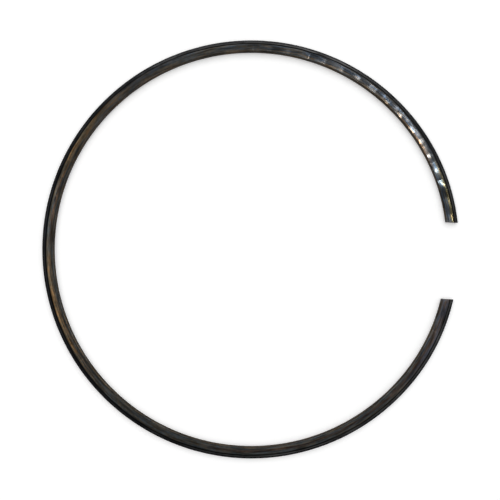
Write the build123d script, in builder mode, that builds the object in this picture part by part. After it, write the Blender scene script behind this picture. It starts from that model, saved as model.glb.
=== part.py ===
from build123d import *
import os
from math import asin, cos, degrees, radians, sin, tan

# A snap ring for a round housing: one open ring of flat-rolled spring wire.
# It lies flat, with its axis on Z, its underside at Z = 0 and its end gap centred on +X.
# The upper face ends in a small shoulder, and outside that a bevelled land slopes down to
# the outer edge, which is the part of the ring that enters the housing's groove.
# Lengths are in millimetres and angles in degrees.

# The free ring
outer_diameter = 150.0
radial_width = 4.2
thickness = 2.0

# The bevelled land and the shoulder that it starts from
land_width = 1.4
bevel_angle = 15.0
shoulder_height = 0.22
shoulder_slope = 40.0

# Rounding of the rolled wire's edges
wire_edge_radius = 0.3
land_edge_radius = 0.2
lip_radius = 0.7
crease_radius = 0.08

# The open ends: cut square to a parallel gap, and coiled a little tighter near their tips
gap_width = 27.5
turned_angle = 25.0
end_turn_in = 0.3
end_break = 0.12

# Radii of the section's corners about the ring's axis
outer_radius = outer_diameter / 2
inner_radius = outer_radius - radial_width
crease_corner = outer_radius - land_width
lip_corner = crease_corner - shoulder_height / tan(radians(shoulder_slope))

# Heights of the land above the underside
crease_height = thickness - shoulder_height
land_edge_height = crease_height - land_width * tan(radians(bevel_angle))

# Where the plain circle ends and the turned-in ends begin, counted from the middle of the gap
gap_half_angle = degrees(asin(gap_width / 2 / outer_radius))
junction_angle = gap_half_angle + turned_angle

# Each end is made long enough to run on into the gap, where it is then cut off
end_arc = turned_angle + gap_half_angle / 2

# A turned-in end follows a circle whose centre lies on the junction's radius, so the two arcs
# are tangent and the tip comes in by end_turn_in
turn_offset = end_turn_in / (1 - cos(radians(turned_angle)))
turn_axis = Axis(
    (turn_offset * cos(radians(junction_angle)), turn_offset * sin(radians(junction_angle)), 0),
    (0, 0, 1),
)

# Corners of the wire's section as (distance from the ring's axis, height), each with its radius
section_corners = {
    (inner_radius, 0): wire_edge_radius,
    (outer_radius, 0): wire_edge_radius,
    (outer_radius, land_edge_height): land_edge_radius,
    (crease_corner, crease_height): crease_radius,
    (lip_corner, thickness): lip_radius,
    (inner_radius, thickness): wire_edge_radius,
}

with BuildPart() as snap_ring:
    with BuildSketch(Plane.XZ.rotated((0, 0, junction_angle))) as section:
        with BuildLine():
            FilletPolyline(*section_corners.keys(), radius=section_corners.values(), close=True)
        make_face()

    # The plain circle, from one junction round to the other
    revolve(axis=Axis.Z, revolution_arc=360 - 2 * junction_angle)

    # The two turned-in ends
    turned_end = revolve(section.sketch, axis=turn_axis, revolution_arc=-end_arc)
    mirror(turned_end, about=Plane.XZ)

    # The gap: both ends are cut parallel to its middle
    with BuildSketch() as gap:
        with Locations((outer_radius, 0)):
            Rectangle(outer_radius, gap_width)
    extrude(amount=thickness, mode=Mode.SUBTRACT)

    # The cut's sharp corners are broken
    cut_faces = snap_ring.faces().filter_by(Axis.Y)
    chamfer(cut_faces.edges(), end_break)

snap_ring.part.label = "snap_ring"

os.makedirs("parts", exist_ok=True)
export_step(snap_ring.part, "parts/snap_ring.step")
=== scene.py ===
import math
import random

import bmesh
import bpy
from mathutils import Matrix, Vector


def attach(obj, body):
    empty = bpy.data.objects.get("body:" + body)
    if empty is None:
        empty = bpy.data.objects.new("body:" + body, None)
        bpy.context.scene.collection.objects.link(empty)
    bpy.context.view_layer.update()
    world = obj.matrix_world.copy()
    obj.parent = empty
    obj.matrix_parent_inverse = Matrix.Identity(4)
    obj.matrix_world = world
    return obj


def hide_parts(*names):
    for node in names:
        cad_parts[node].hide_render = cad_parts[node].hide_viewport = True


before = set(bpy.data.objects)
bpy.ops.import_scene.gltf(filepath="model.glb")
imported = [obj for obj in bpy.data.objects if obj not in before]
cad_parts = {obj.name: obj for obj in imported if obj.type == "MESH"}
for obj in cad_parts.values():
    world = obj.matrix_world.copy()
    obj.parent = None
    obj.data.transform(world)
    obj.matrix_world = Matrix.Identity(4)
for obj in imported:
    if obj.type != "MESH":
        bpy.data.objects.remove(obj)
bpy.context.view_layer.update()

MM = 0.001

# The wire, in millimetres and degrees, as the CAD model has it
OUTER_RADIUS = 75.0
INNER_RADIUS = 70.8
RADIAL_WIDTH = OUTER_RADIUS - INNER_RADIUS
THICKNESS = 2.0
CREASE_RADIUS = 73.6
CREASE_HEIGHT = 1.78
LIP_RADIUS = 73.338
LAND_EDGE_HEIGHT = 1.405
GAP_WIDTH = 27.5
TURN_JUNCTION = 35.56
TURN_SHIFT = 3.202
END_BREAK = 0.12

# Relief too fine for the CAD model: the crown of the main face, and the ripple that coiling leaves
FACE_CROWN = 0.015
RIPPLES = 67
RIPPLE_PITCH = 360 / RIPPLES
RIPPLE_PHASE = 4.2
RIPPLE_DEPTH = 0.125
RIPPLE_SPREAD = 0.32
RIPPLE_SEED = 359305
VALLEY_ROUNDING = 0.15

# The ripple is deepest toward the upper end: the share that is left elsewhere, and the angles
# that it fades between
RIPPLE_CALM = 0.45
CALM_FROM = 78.0
CALM_TO = 98.0

# By the tips the upper face leans toward the inner edge: its slope, and the angles from the middle
# of the gap that the slope grows between
TIP_LEAN = 0.07
TIP_LEAN_FROM = 23.5
TIP_LEAN_TO = 18.5

# The ripple and the lean fade out down the wire's sides, between these heights
RELIEF_FROM = 1.0
RELIEF_TO = 1.6

# Where the stations stand in each ripple, as shares of the pitch: closest by the valleys
RIPPLE_STATIONS = (-0.5, -0.47, -0.41, -0.33, -0.24, -0.15, -0.05, 0.05, 0.15, 0.24, 0.33, 0.41, 0.47)

# Angles from the middle of the gap: where the plain stations start, and what the two stations at
# each cut count as for the ripple, the lean and the colours, since planes across the gap place them
PLAIN_FROM = 10.5
BREAK_AT = 10.0
CUT_AT = 9.9

# The section's corners, anticlockwise from the inner bottom one: distance from the ring's axis,
# height, rounding, steps in the rounding, and points on the straight run that follows
TOP = THICKNESS - FACE_CROWN
SECTION_CORNERS = (
    (INNER_RADIUS, 0.0, 0.3, 6, 4),
    (OUTER_RADIUS, 0.0, 0.3, 6, 4),
    (OUTER_RADIUS, LAND_EDGE_HEIGHT, 0.2, 5, 7),
    (CREASE_RADIUS, CREASE_HEIGHT, 0.08, 4, 1),
    (LIP_RADIUS, TOP, 0.7, 7, 15),
    (INNER_RADIUS, TOP, 0.3, 6, 5),
)
MAIN_FACE = 4

# The photograph's view: a camera straight above, turned a little and a little off the ring's axis
CAMERA_HEIGHT = 232.0
CAMERA_TURN = 3.3
CAMERA_RIGHT = -0.478
CAMERA_UP = -0.210
CAMERA_LENS = 46.31

# The floor: how far it reaches each way in metres, how far it lies under the ring in millimetres,
# its paper, and what the paper shows beyond the light that falls on it, to render white
FLOOR_REACH = 4.0
FLOOR_DROP = 0.02
PAPER_WHITE = (0.97, 0.97, 0.97, 1)
FLOOR_GLOW = 0.2

# The texture sheet, in shares of its side: the strips that the ring's skin is cut into, and the
# band above them that holds the two cut ends
STRIPS = 6
STRIP_BAND = 0.965
STRIP_MARGIN = 0.02
SHEET_EDGE = 0.002
CUT_END_LEFT = 0.01
CUT_END_STEP = 0.08
CUT_END_SIZE = 0.06
CUT_END_LIFT = 0.003

# The wire's shape


def smooth_step(low, high, value):
    """From 0 at the low value to 1 at the high one, level at both."""
    share = min(1.0, max(0.0, (value - low) / (high - low)))
    return share * share * (3 - 2 * share)


def rounded_corner(before, corner, after, radius, steps):
    """Points along the arc that rounds a corner, from the side before it to the side after it."""
    to_before = (before - corner).normalized()
    to_after = (after - corner).normalized()
    half_angle = to_before.angle(to_after) / 2
    centre = corner + (to_before + to_after).normalized() * (radius / math.sin(half_angle))
    start = corner + to_before * (radius / math.tan(half_angle)) - centre
    end = corner + to_after * (radius / math.tan(half_angle)) - centre
    sweep = math.atan2(start.cross(end), start.dot(end))
    return [centre + Matrix.Rotation(sweep * i / steps, 2) @ start for i in range(steps + 1)]


def wire_section():
    """The section's outline as points (distance from the ring's axis, height).

    The main face is slightly crowned.
    """
    corners = [Vector(row[:2]) for row in SECTION_CORNERS]
    arcs = []
    for i, (_, _, radius, steps, _) in enumerate(SECTION_CORNERS):
        after = corners[(i + 1) % len(corners)]
        arcs.append(rounded_corner(corners[i - 1], corners[i], after, radius, steps))
    outline = []
    for i, arc in enumerate(arcs):
        outline += arc
        run_start = arc[-1]
        run_end = arcs[(i + 1) % len(arcs)][0]
        count = SECTION_CORNERS[i][4]
        for k in range(1, count + 1):
            share = k / (count + 1)
            point = run_start.lerp(run_end, share)
            if i == MAIN_FACE:
                point.y += FACE_CROWN * (1 - (2 * share - 1) ** 2)
            outline.append(point)
    return outline


def inset(outline, amount):
    """The outline drawn in by that amount all round."""
    drawn_in = []
    for i, point in enumerate(outline):
        along = outline[(i + 1) % len(outline)] - outline[i - 1]
        inward = Vector((-along.y, along.x)).normalized()
        drawn_in.append(point + inward * amount)
    return drawn_in


class Station:
    """A place along the wire: its angle, and the centre that the wire curves about there.

    The ends curve about centres of their own, nearer to them by TURN_SHIFT. A station with a cut
    lies in that plane across the gap instead of in the plane of its angle.
    """

    def __init__(self, angle, cut=None):
        self.angle = math.radians(angle)
        self.cut = cut
        self.shift = 0.0
        self.centre = Vector((0.0, 0.0))
        signed = (angle + 180) % 360 - 180
        if abs(signed) < TURN_JUNCTION:
            junction = math.radians(math.copysign(TURN_JUNCTION, signed))
            self.shift = TURN_SHIFT
            self.centre = TURN_SHIFT * Vector((math.cos(junction), math.sin(junction)))

    def point(self, distance, height):
        """The point at that distance from the ring's axis and that height."""
        reach = distance - self.shift
        angle = self.angle
        if self.cut is not None:
            angle = math.asin((self.cut - self.centre.y) / reach)
        flat = self.centre + reach * Vector((math.cos(angle), math.sin(angle)))
        return Vector((flat.x, flat.y, height))


def wire_stations():
    """The stations from one end to the other, the broken corners of both ends included."""
    cut = GAP_WIDTH / 2
    angles = [
        RIPPLE_PHASE + RIPPLE_PITCH * (facet + share)
        for facet in range(RIPPLES + 1)
        for share in RIPPLE_STATIONS
    ]
    plain = [Station(angle) for angle in angles if PLAIN_FROM < angle < 360 - PLAIN_FROM]
    near_end = [Station(CUT_AT, cut), Station(BREAK_AT, cut + END_BREAK)]
    far_end = [Station(-BREAK_AT, -cut - END_BREAK), Station(-CUT_AT, -cut)]
    return near_end + plain + far_end


def ripple_depths():
    """Each ripple's depth, uneven from one to the next and calmer away from the upper end."""
    randomness = random.Random(RIPPLE_SEED)
    depths = []
    for facet in range(RIPPLES):
        calm = smooth_step(CALM_FROM, CALM_TO, RIPPLE_PHASE + RIPPLE_PITCH * facet)
        share = 1 - (1 - RIPPLE_CALM) * calm
        depths.append(RIPPLE_DEPTH * share * randomness.uniform(1 - RIPPLE_SPREAD, 1 + RIPPLE_SPREAD))
    return depths


def ripple(station, depths):
    """How far the wire's upper side dips at a station.

    The side has shallow convex facets, with rounded valleys between them.
    """
    turns = (math.degrees(station.angle) - RIPPLE_PHASE) / RIPPLE_PITCH
    facet = math.floor(turns + 0.5)
    height = math.hypot(math.cos(math.pi * (turns - facet)), VALLEY_ROUNDING)
    return depths[facet % len(depths)] * (math.hypot(1.0, VALLEY_ROUNDING) - height)


def lean(station):
    """The slope that the upper face has toward the inner edge at a station."""
    from_gap = abs((math.degrees(station.angle) + 180) % 360 - 180)
    return TIP_LEAN * (1 - smooth_step(TIP_LEAN_TO, TIP_LEAN_FROM, from_gap))


def snap_ring():
    """The ring as one mesh.

    Its attributes say where each point is round the ring, and how far from the outer edge and
    from an end.
    """
    outline = wire_section()
    stations = wire_stations()
    depths = ripple_depths()

    points = []
    for i, station in enumerate(stations):
        at_cut = i in (0, len(stations) - 1)
        dip = ripple(station, depths)
        slope = lean(station)
        for distance, height in inset(outline, END_BREAK) if at_cut else outline:
            lowering = dip + slope * max(0.0, LIP_RADIUS - distance)
            lowered = height - lowering * smooth_step(RELIEF_FROM, RELIEF_TO, height)
            points.append(station.point(distance, lowered) * MM)

    sides = len(outline)
    rows = len(stations)
    skin = [
        tuple(i * sides + j % sides for i, j in quad)
        for quad in skin_quads(0, rows - 1, sides)
    ]
    ends = [tuple(range(sides)), tuple(range((rows - 1) * sides, rows * sides))]
    mesh = bpy.data.meshes.new("snap_ring_steel")
    mesh.from_pydata(points, [], skin + ends)

    along = [0.0]
    middle = outline[0].lerp(outline[sides // 2], 0.5)
    for here, there in zip(stations, stations[1:]):
        along.append(along[-1] + (there.point(*middle) - here.point(*middle)).length)
    girth = [0.0]
    for j in range(sides):
        girth.append(girth[-1] + (outline[(j + 1) % sides] - outline[j]).length)

    turns = [(CAMERA_TURN / 360 - station.angle / math.tau) % 1.0 for station in stations]
    add_attribute(mesh, "around", [turn for turn in turns for _ in outline])
    add_attribute(mesh, "from_edge", [OUTER_RADIUS - point.x for _ in stations for point in outline])
    add_attribute(mesh, "from_end", [min(s, along[-1] - s) for s in along for _ in outline])
    add_wire_map(mesh, along, girth)
    add_texture_sheet(mesh, along, girth, outline)
    shade(mesh, sides, rows)
    return mesh


def skin_quads(first, last, sides):
    """The quads between two stations, each as four pairs of station and place on the section."""
    for i in range(first, last):
        for j in range(sides):
            yield (i, j), (i + 1, j), (i + 1, j + 1), (i, j + 1)


def add_attribute(mesh, name, values):
    mesh.attributes.new(name, "FLOAT", "POINT").data.foreach_set("value", values)


def add_uv_map(mesh, name, places):
    """A UV map from one place for each face corner, in the mesh's order."""
    flat = [value for place in places for value in place]
    mesh.uv_layers.new(name=name).data.foreach_set("uv", flat)


def add_wire_map(mesh, along, girth):
    """A UV map in millimetres: along the wire and around its section."""
    sides = len(girth) - 1
    places = [
        (along[s], girth[t])
        for quad in skin_quads(0, len(along) - 1, sides)
        for s, t in quad
    ]
    places += [(end, t) for end in (0.0, along[-1]) for t in girth[:-1]]
    add_uv_map(mesh, "wire", places)


def add_texture_sheet(mesh, along, girth, outline):
    """A UV map that lays the ring out in equal strips, stacked to fill the sheet.

    The cut ends lie in a band above them.
    """
    rows = len(along)
    bounds = [round(k * (rows - 1) / STRIPS) for k in range(STRIPS + 1)]
    strip_length = max(along[b] - along[a] for a, b in zip(bounds, bounds[1:]))
    places = []
    for strip, (first, last) in enumerate(zip(bounds, bounds[1:])):
        for quad in skin_quads(first, last, len(outline)):
            for s, t in quad:
                u = (along[s] - along[first]) / strip_length
                v = STRIP_MARGIN + (1 - 2 * STRIP_MARGIN) * girth[t] / girth[-1]
                across_sheet = SHEET_EDGE + (1 - 2 * SHEET_EDGE) * u
                places.append((across_sheet, (strip + v) / STRIPS * STRIP_BAND))
    for end in (0, 1):
        for point in outline:
            left = CUT_END_LEFT + CUT_END_STEP * end
            u = left + CUT_END_SIZE * (point.x - INNER_RADIUS) / RADIAL_WIDTH
            v = STRIP_BAND + CUT_END_LIFT + CUT_END_SIZE * point.y / RADIAL_WIDTH
            places.append((u, v))
    add_uv_map(mesh, "OFBake", places)


def shade(mesh, sides, rows):
    """Smooth sides, and sharp edges round the broken corners and the cut faces."""
    ring = bmesh.new()
    ring.from_mesh(mesh)
    ring.verts.ensure_lookup_table()
    for face in ring.faces:
        face.smooth = True
    sharp_rows = {0, 1, rows - 2, rows - 1}
    for edge in ring.edges:
        at = {vertex.index // sides for vertex in edge.verts}
        edge.smooth = not (len(at) == 1 and at <= sharp_rows)
    bmesh.ops.recalc_face_normals(ring, faces=ring.faces)
    ring.to_mesh(mesh)
    ring.free()


# Materials

# The steel's temper colours, and the painted shade and painted reflection of the land and the crease
SLATE = (0.041, 0.044, 0.049, 1)
BLUE_BLACK = (0.029, 0.032, 0.037, 1)
GREY = (0.050, 0.050, 0.047, 1)
PALE_GREY = (0.062, 0.062, 0.060, 1)
DARK_GREY = (0.043, 0.041, 0.037, 1)
GOLD = (0.086, 0.062, 0.037, 1)
DULL_GOLD = (0.080, 0.056, 0.035, 1)
RED_BROWN = (0.040, 0.027, 0.022, 1)
BROWN = (0.054, 0.048, 0.042, 1)
STRAW = (0.060, 0.053, 0.032, 1)
PLUM = (0.062, 0.057, 0.062, 1)
RUST = (0.062, 0.047, 0.041, 1)
COPPER = (0.072, 0.048, 0.032, 1)
TEAL = (0.038, 0.047, 0.057, 1)
EDGE_BROWN = (0.050, 0.043, 0.036, 1)
BARE_STEEL = (0.074, 0.075, 0.080, 1)
# Painted shade and painted reflection on the land: black by its rounded outer edge, and its stripe's
# shades
LAND_BLACK = (0.020, 0.020, 0.021, 1)
LAND_DARK = (0.023, 0.024, 0.027, 1)
LAND_MID = (0.042, 0.042, 0.042, 1)
LAND_GREY = (0.066, 0.066, 0.064, 1)
# Painted shade: the crease is darkened where the step shades it
CREASE_BLACK = (0.005, 0.005, 0.005, 1)
STEEL_SPECULAR = (0.5, 0.48, 0.46, 1)

# What the colours are multiplied by, in long streaks and in small specks
COOL_TINT = (0.84, 0.98, 1.14, 1)
WARM_TINT = (1.16, 1.0, 0.82, 1)
COOL_SPECK = (0.92, 1.0, 1.07, 1)
WARM_SPECK = (1.08, 1.0, 0.93, 1)

# Where the colours lie: the share of a full turn, clockwise from the middle of the gap, so the
# lower tip comes first
OUTER_HALF_COLOURS = (
    (0.03, PLUM), (0.09, PLUM), (0.13, GREY), (0.38, GREY), (0.42, GOLD), (0.48, GOLD),
    (0.51, GREY), (0.54, GREY), (0.57, GOLD), (0.61, GOLD), (0.64, BROWN), (0.67, SLATE),
    (0.72, PALE_GREY), (0.80, SLATE), (0.92, SLATE), (0.95, STRAW),
)
MIDDLE_COLOURS = (
    (0.03, PLUM), (0.06, RUST), (0.09, RED_BROWN), (0.26, RED_BROWN), (0.30, GREY), (0.39, GREY),
    (0.42, DULL_GOLD), (0.48, DULL_GOLD), (0.50, GREY), (0.53, RUST), (0.57, DULL_GOLD),
    (0.61, DULL_GOLD), (0.65, BROWN), (0.70, GREY), (0.80, BLUE_BLACK), (0.91, BLUE_BLACK),
    (0.93, TEAL), (0.95, TEAL), (0.97, SLATE),
)
INNER_HALF_COLOURS = (
    (0.03, PLUM), (0.10, PALE_GREY), (0.20, PALE_GREY), (0.28, GREY), (0.40, DARK_GREY),
    (0.60, DARK_GREY), (0.72, BROWN), (0.88, BROWN), (0.90, COPPER), (0.915, COPPER),
    (0.935, TEAL), (0.95, TEAL), (0.98, SLATE),
)
# The land's stripe is a painted reflection, paler or darker round the ring with how the light falls
LAND_COLOURS = (
    (0.03, LAND_GREY), (0.24, LAND_GREY), (0.34, LAND_DARK), (0.62, LAND_DARK),
    (0.76, LAND_MID), (0.98, LAND_MID),
)

# The bands that the colours lie in: where each fades in, in millimetres from the outer edge
LAND_STRIPE_FADE = (0.55, 0.82)
FACE_FADE = (1.40, 1.66)
MIDDLE_FADE = (2.25, 2.75)
INNER_HALF_FADE = (2.95, 3.3)
EDGE_BROWN_FADE = (3.85, 4.1)
ROUGH_EDGE_FADE = (3.7, 3.95)

# How far the streaks shift the edges between the face's bands, in millimetres
BAND_WAVER = 1.6

# The painted shade in the crease: its middle from the outer edge, the half-widths that it fades
# between, and the heights that it starts between, in millimetres
CREASE_MIDDLE = 1.28
CREASE_FADE = (0.14, 0.32)
CREASE_LOWEST = (1.2 * MM, 1.5 * MM)

# The bare patches by the cut ends: how far from the end they fade out, how far from the outer
# edge they start, and the part of the grain that they take
WORN_LENGTH = (0.6, 1.6)
WORN_FADE = (2.1, 2.6)
WORN_GRAIN = (0.40, 0.60)

# The noise patterns: features per millimetre along the wire and around its section, the detail
# and the roughness
DRAWN_LINES = ((0.13, 1.8, 1.0), 4.0, 0.65)
STREAKS = ((0.09, 1.6, 1.0), 3.0, 0.6)
TINTS = ((0.13, 1.3, 1.0), 3.0, 0.6)
SPECKS = ((1.3, 1.6, 1.0),)
GRAIN = ((1.0, 2.2, 1.0),)
MOTTLE = ((0.7, 1.8, 1.0), 4.0, 0.65)

# Larger patches, in features per metre
PATCHES = ((60.0, 60.0, 60.0),)

# The part of a pattern that the two tints are blended over
TINT_BLEND = (0.38, 0.62)
SPECK_BLEND = (0.40, 0.60)

# How much each pattern darkens and brightens the steel: the part of the pattern that counts, and
# the levels at its two ends
MOTTLE_LEVEL = (0.25, 0.75, 0.85, 1.15)
DRAWN_LEVEL = (0.38, 0.62, 0.5, 1.5)
PATCH_LEVEL = (0.35, 0.65, 0.85, 1.15)
GRAIN_LEVEL = (0.35, 0.65, 0.88, 1.12)

# The steel's roughness along the drawn lines, and along the inner edge
DRAWN_ROUGHNESS = (0.3, 0.7, 0.11, 0.16)
EDGE_ROUGHNESS = 0.42

# The fine relief: the shares of the two patterns, and its strength and depth
DRAWN_RELIEF = 0.85
MOTTLE_RELIEF = 0.15
RELIEF_STRENGTH = 0.25
RELIEF_DEPTH = 0.01 * MM


class Graph:
    """A material's nodes, each added with its settings and inputs in one call."""

    def __init__(self, name):
        self.material = bpy.data.materials.new(name)
        self.material.use_nodes = True
        self.tree = self.material.node_tree
        self.shader = self.tree.nodes["Principled BSDF"]

    def add(self, kind, inputs, output=0, **settings):
        """Adds a node, sets or connects its inputs, and gives back one of its outputs."""
        node = self.tree.nodes.new(kind)
        for name, value in settings.items():
            setattr(node, name, value)
        for socket, value in inputs.items():
            self.feed(node.inputs[socket], value)
        return node.outputs[output]

    def feed(self, socket, value):
        """Connects a node's output to an input, or sets the input to a plain value."""
        if isinstance(value, bpy.types.NodeSocket):
            self.tree.links.new(value, socket)
        else:
            socket.default_value = value

    def set_shader(self, **inputs):
        """Feeds the shader's inputs, named with underscores for spaces."""
        for name, value in inputs.items():
            self.feed(self.shader.inputs[name.replace("_", " ")], value)

    def math(self, operation, a, b=0.0, c=0.0):
        return self.add("ShaderNodeMath", {0: a, 1: b, 2: c}, operation=operation)

    def remap(self, value, low, high, to_low=0.0, to_high=1.0):
        """A smooth, clamped change of range."""
        inputs = {"Value": value, "From Min": low, "From Max": high, "To Min": to_low, "To Max": to_high}
        return self.add("ShaderNodeMapRange", inputs, interpolation_type="SMOOTHSTEP")

    def blend(self, share, a, b, blend_type="MIX"):
        """One colour into another."""
        inputs = {"Factor": share, 6: a, 7: b}
        return self.add("ShaderNodeMix", inputs, output=2, data_type="RGBA", blend_type=blend_type)

    def multiply(self, a, b):
        return self.blend(1.0, a, b, blend_type="MULTIPLY")

    def ramp(self, value, stops):
        """A colour that changes with a value from 0 to 1, through stops of (value, colour)."""
        colour = self.add("ShaderNodeValToRGB", {"Fac": value})
        elements = colour.node.color_ramp.elements
        elements[0].position, elements[0].color = stops[0]
        elements[1].position, elements[1].color = stops[-1]
        for position, stop_colour in stops[1:-1]:
            elements.new(position).color = stop_colour
        return colour

    def noise(self, vector, scale, detail=2.0, roughness=0.5):
        """Noise with a scale of its own along each axis of the vector."""
        scaled = self.add("ShaderNodeMapping", {"Vector": vector, "Scale": scale})
        inputs = {"Vector": scaled, "Scale": 1.0, "Detail": detail, "Roughness": roughness}
        return self.add("ShaderNodeTexNoise", inputs)

    def attribute(self, name):
        return self.add("ShaderNodeAttribute", {}, output="Fac", attribute_name=name)


def tempered_steel():
    """Oil-tempered spring steel: near black, with temper colours, drawn lines and painted shade in the
    crease.
    """
    graph = Graph("tempered_steel")
    wire = graph.add("ShaderNodeUVMap", {}, uv_map="wire")
    place = graph.add("ShaderNodeTexCoord", {}, output="Object")
    from_edge = graph.attribute("from_edge")
    from_end = graph.attribute("from_end")
    around = graph.attribute("around")

    drawn_lines = graph.noise(wire, *DRAWN_LINES)
    streaks = graph.noise(wire, *STREAKS)
    tints = graph.noise(wire, *TINTS)
    specks = graph.noise(wire, *SPECKS)
    patches = graph.noise(place, *PATCHES)
    grain = graph.noise(wire, *GRAIN)
    mottle = graph.noise(wire, *MOTTLE)

    # The face's temper colours change slowly round the ring, in three bands with wavering edges
    # and a brown line along the inner edge
    outer_half, middle, inner_half, land_reflection_stripe = (
        graph.ramp(around, stops)
        for stops in (OUTER_HALF_COLOURS, MIDDLE_COLOURS, INNER_HALF_COLOURS, LAND_COLOURS)
    )
    wavering = graph.math("MULTIPLY_ADD", graph.math("SUBTRACT", streaks, 0.5), BAND_WAVER, from_edge)
    colour = graph.blend(graph.remap(wavering, *MIDDLE_FADE), outer_half, middle)
    colour = graph.blend(graph.remap(wavering, *INNER_HALF_FADE), colour, inner_half)
    colour = graph.blend(graph.remap(from_edge, *EDGE_BROWN_FADE), colour, EDGE_BROWN)
    tint = graph.blend(graph.remap(tints, *TINT_BLEND), COOL_TINT, WARM_TINT)
    speck = graph.blend(graph.remap(specks, *SPECK_BLEND), COOL_SPECK, WARM_SPECK)
    colour = graph.multiply(graph.multiply(colour, tint), speck)

    # The steel is worn bare in patches right by the cut ends, on the inner half of the face
    near_end = graph.remap(from_end, *WORN_LENGTH, 1.0, 0.0)
    worn = graph.math("MULTIPLY", near_end, graph.remap(grain, *WORN_GRAIN))
    worn = graph.math("MULTIPLY", worn, graph.remap(from_edge, *WORN_FADE))
    colour = graph.blend(worn, colour, BARE_STEEL)

    # The land: painted shade by the outer edge and in the crease, a paler stripe of painted reflection
    # along its middle
    land = graph.blend(graph.remap(from_edge, *LAND_STRIPE_FADE), LAND_BLACK, land_reflection_stripe)
    colour = graph.blend(graph.remap(from_edge, *FACE_FADE), land, colour)
    # Painted shade: the crease is darkened to near black where the step shades it
    off_crease = graph.math("ABSOLUTE", graph.math("SUBTRACT", from_edge, CREASE_MIDDLE))
    height = graph.add("ShaderNodeSeparateXYZ", {0: place}, output=2)
    in_crease = graph.remap(off_crease, *CREASE_FADE, 1.0, 0.0)
    crease_shade = graph.math("MULTIPLY", in_crease, graph.remap(height, *CREASE_LOWEST))
    colour = graph.blend(crease_shade, colour, CREASE_BLACK)

    level = graph.remap(mottle, *MOTTLE_LEVEL)
    for pattern, change in ((drawn_lines, DRAWN_LEVEL), (patches, PATCH_LEVEL), (grain, GRAIN_LEVEL)):
        level = graph.math("MULTIPLY", level, graph.remap(pattern, *change))
    colour = graph.multiply(colour, graph.add("ShaderNodeCombineXYZ", {0: level, 1: level, 2: level}))

    # Along the inner edge the wire is left as it was rolled, and is rougher
    drawn_roughness = graph.remap(drawn_lines, *DRAWN_ROUGHNESS)
    edge_roughness = graph.remap(from_edge, *ROUGH_EDGE_FADE, 0.0, EDGE_ROUGHNESS)
    roughness = graph.math("MAXIMUM", drawn_roughness, edge_roughness)

    drawn_relief = graph.math("MULTIPLY", drawn_lines, DRAWN_RELIEF)
    relief = graph.math("ADD", drawn_relief, graph.math("MULTIPLY", mottle, MOTTLE_RELIEF))
    bump_inputs = {"Strength": RELIEF_STRENGTH, "Distance": RELIEF_DEPTH, "Height": relief}
    bump = graph.add("ShaderNodeBump", bump_inputs)

    graph.set_shader(Base_Color=colour, Roughness=roughness, Normal=bump)
    graph.set_shader(Metallic=1.0, Specular_Tint=STEEL_SPECULAR)
    return graph.material


def floor_white():
    """Plain white paper, as white where the steel mirrors it as where the camera sees it."""
    graph = Graph("floor_white")
    rays = graph.add("ShaderNodeLightPath", {}).node.outputs
    seen = graph.math("MAXIMUM", rays["Is Camera Ray"], rays["Is Glossy Ray"])
    seen = graph.math("MAXIMUM", seen, rays["Is Transmission Ray"])
    graph.set_shader(Emission_Strength=graph.math("MULTIPLY", seen, FLOOR_GLOW))
    graph.set_shader(Emission_Color=(1, 1, 1, 1), Base_Color=PAPER_WHITE)
    graph.set_shader(Roughness=1.0, Specular_IOR_Level=0.0)
    return graph.material


# The photograph's light and view


def toward(image_angle, zenith):
    """The direction toward a point of the sky, that many degrees from straight up.

    The angle is the picture's, clockwise from its right.
    """
    azimuth = math.radians(CAMERA_TURN - image_angle)
    down = math.radians(zenith)
    flat = math.sin(down)
    return Vector((math.cos(azimuth) * flat, math.sin(azimuth) * flat, math.cos(down)))


def softbox(name, image_angle, zenith, width, height, radiance, colour, lights_floor=True):
    """A lamp a metre away that faces the ring.

    It has a width along the horizon, a height, and its surface's brightness. One that doesn't
    light the floor is only mirrored in the steel.
    """
    lamp = bpy.data.lights.new(name, "AREA")
    lamp.shape = "RECTANGLE"
    lamp.size = width
    lamp.size_y = height
    lamp.energy = radiance * math.pi * width * height
    lamp.color = colour
    fixture = bpy.data.objects.new(name, lamp)
    fixture.visible_diffuse = lights_floor
    direction = toward(image_angle, zenith)
    fixture.location = direction
    fixture.rotation_euler = direction.to_track_quat("Z", "Y").to_euler()
    bpy.context.scene.collection.objects.link(fixture)


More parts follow.
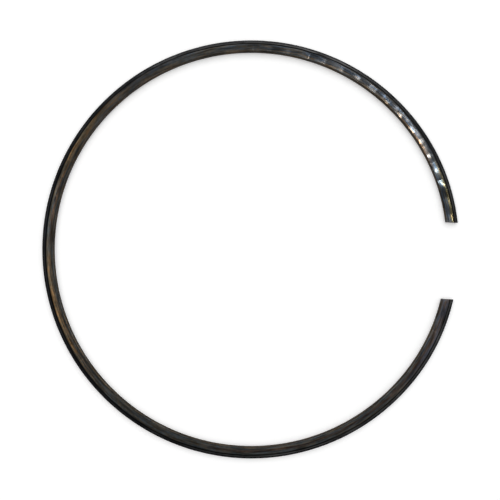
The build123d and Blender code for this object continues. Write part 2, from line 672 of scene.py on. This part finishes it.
def sky():
    """A pale sky, brighter toward the top right of the picture."""
    world = bpy.data.worlds.new("sky")
    world.use_nodes = True
    tree = world.node_tree
    background = tree.nodes["Background"]
    coordinates = tree.nodes.new("ShaderNodeTexCoord")
    toward_bright = tree.nodes.new("ShaderNodeVectorMath")
    toward_bright.operation = "DOT_PRODUCT"
    toward_bright.inputs[1].default_value = toward(300, 70)
    strength = tree.nodes.new("ShaderNodeMapRange")
    strength.interpolation_type = "SMOOTHSTEP"
    for name, value in (("From Min", -0.7), ("From Max", 0.9), ("To Min", 0.40), ("To Max", 0.95)):
        strength.inputs[name].default_value = value
    tree.links.new(coordinates.outputs["Generated"], toward_bright.inputs[0])
    tree.links.new(toward_bright.outputs["Value"], strength.inputs["Value"])
    tree.links.new(strength.outputs["Result"], background.inputs["Strength"])
    background.inputs["Color"].default_value = (0.98, 0.99, 1.0, 1)
    bpy.context.scene.world = world


def camera():
    """The photograph's camera, which looks straight down."""
    data = bpy.data.cameras.new("camera")
    data.lens = CAMERA_LENS
    data.sensor_width = 36.0
    data.clip_start = 0.01
    data.clip_end = 50.0
    eye = bpy.data.objects.new("camera", data)
    turn = math.radians(CAMERA_TURN)
    right = Vector((math.cos(turn), math.sin(turn), 0))
    up = Vector((-math.sin(turn), math.cos(turn), 0))
    eye.location = (CAMERA_RIGHT * right + CAMERA_UP * up + Vector((0, 0, CAMERA_HEIGHT))) * MM
    eye.rotation_euler = (0, 0, turn)
    bpy.context.scene.collection.objects.link(eye)
    bpy.context.scene.camera = eye


def link(name, mesh, material):
    """A new object in the scene, with that mesh and that material."""
    piece = bpy.data.objects.new(name, mesh)
    piece.data.materials.append(material)
    bpy.context.scene.collection.objects.link(piece)
    return piece


def floor():
    """One flat square under the ring."""
    mesh = bpy.data.meshes.new("floor")
    sides = ((-1, -1), (1, -1), (1, 1), (-1, 1))
    corners = [(x * FLOOR_REACH, y * FLOOR_REACH, -FLOOR_DROP * MM) for x, y in sides]
    mesh.from_pydata(corners, [], [(0, 1, 2, 3)])
    return link("floor", mesh, floor_white())


ring = link("ring_steel", snap_ring(), tempered_steel())
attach(ring, "root")
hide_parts("snap_ring")
floor()

sky()
softbox("upper_right", 318, 24, 0.40, 0.36, 1.1, (0.93, 0.97, 1.0))
softbox("glint", 333.5, 20.6, 0.04, 0.05, 92.0, (1.0, 0.985, 0.93), lights_floor=False)
softbox("faint_glint", 314, 22.8, 0.04, 0.06, 22.0, (0.95, 0.97, 1.0), lights_floor=False)
softbox("lip", 351, 38, 0.05, 0.05, 45.0, (1.0, 0.92, 0.62), lights_floor=False)
softbox("above", 278, 50, 1.0, 0.4, 0.9, (1.0, 0.98, 0.96))
softbox("left", 177, 31, 0.75, 0.30, 1.4, (1.0, 0.91, 0.80))
camera()
bpy.context.scene.view_settings.view_transform = "Standard"
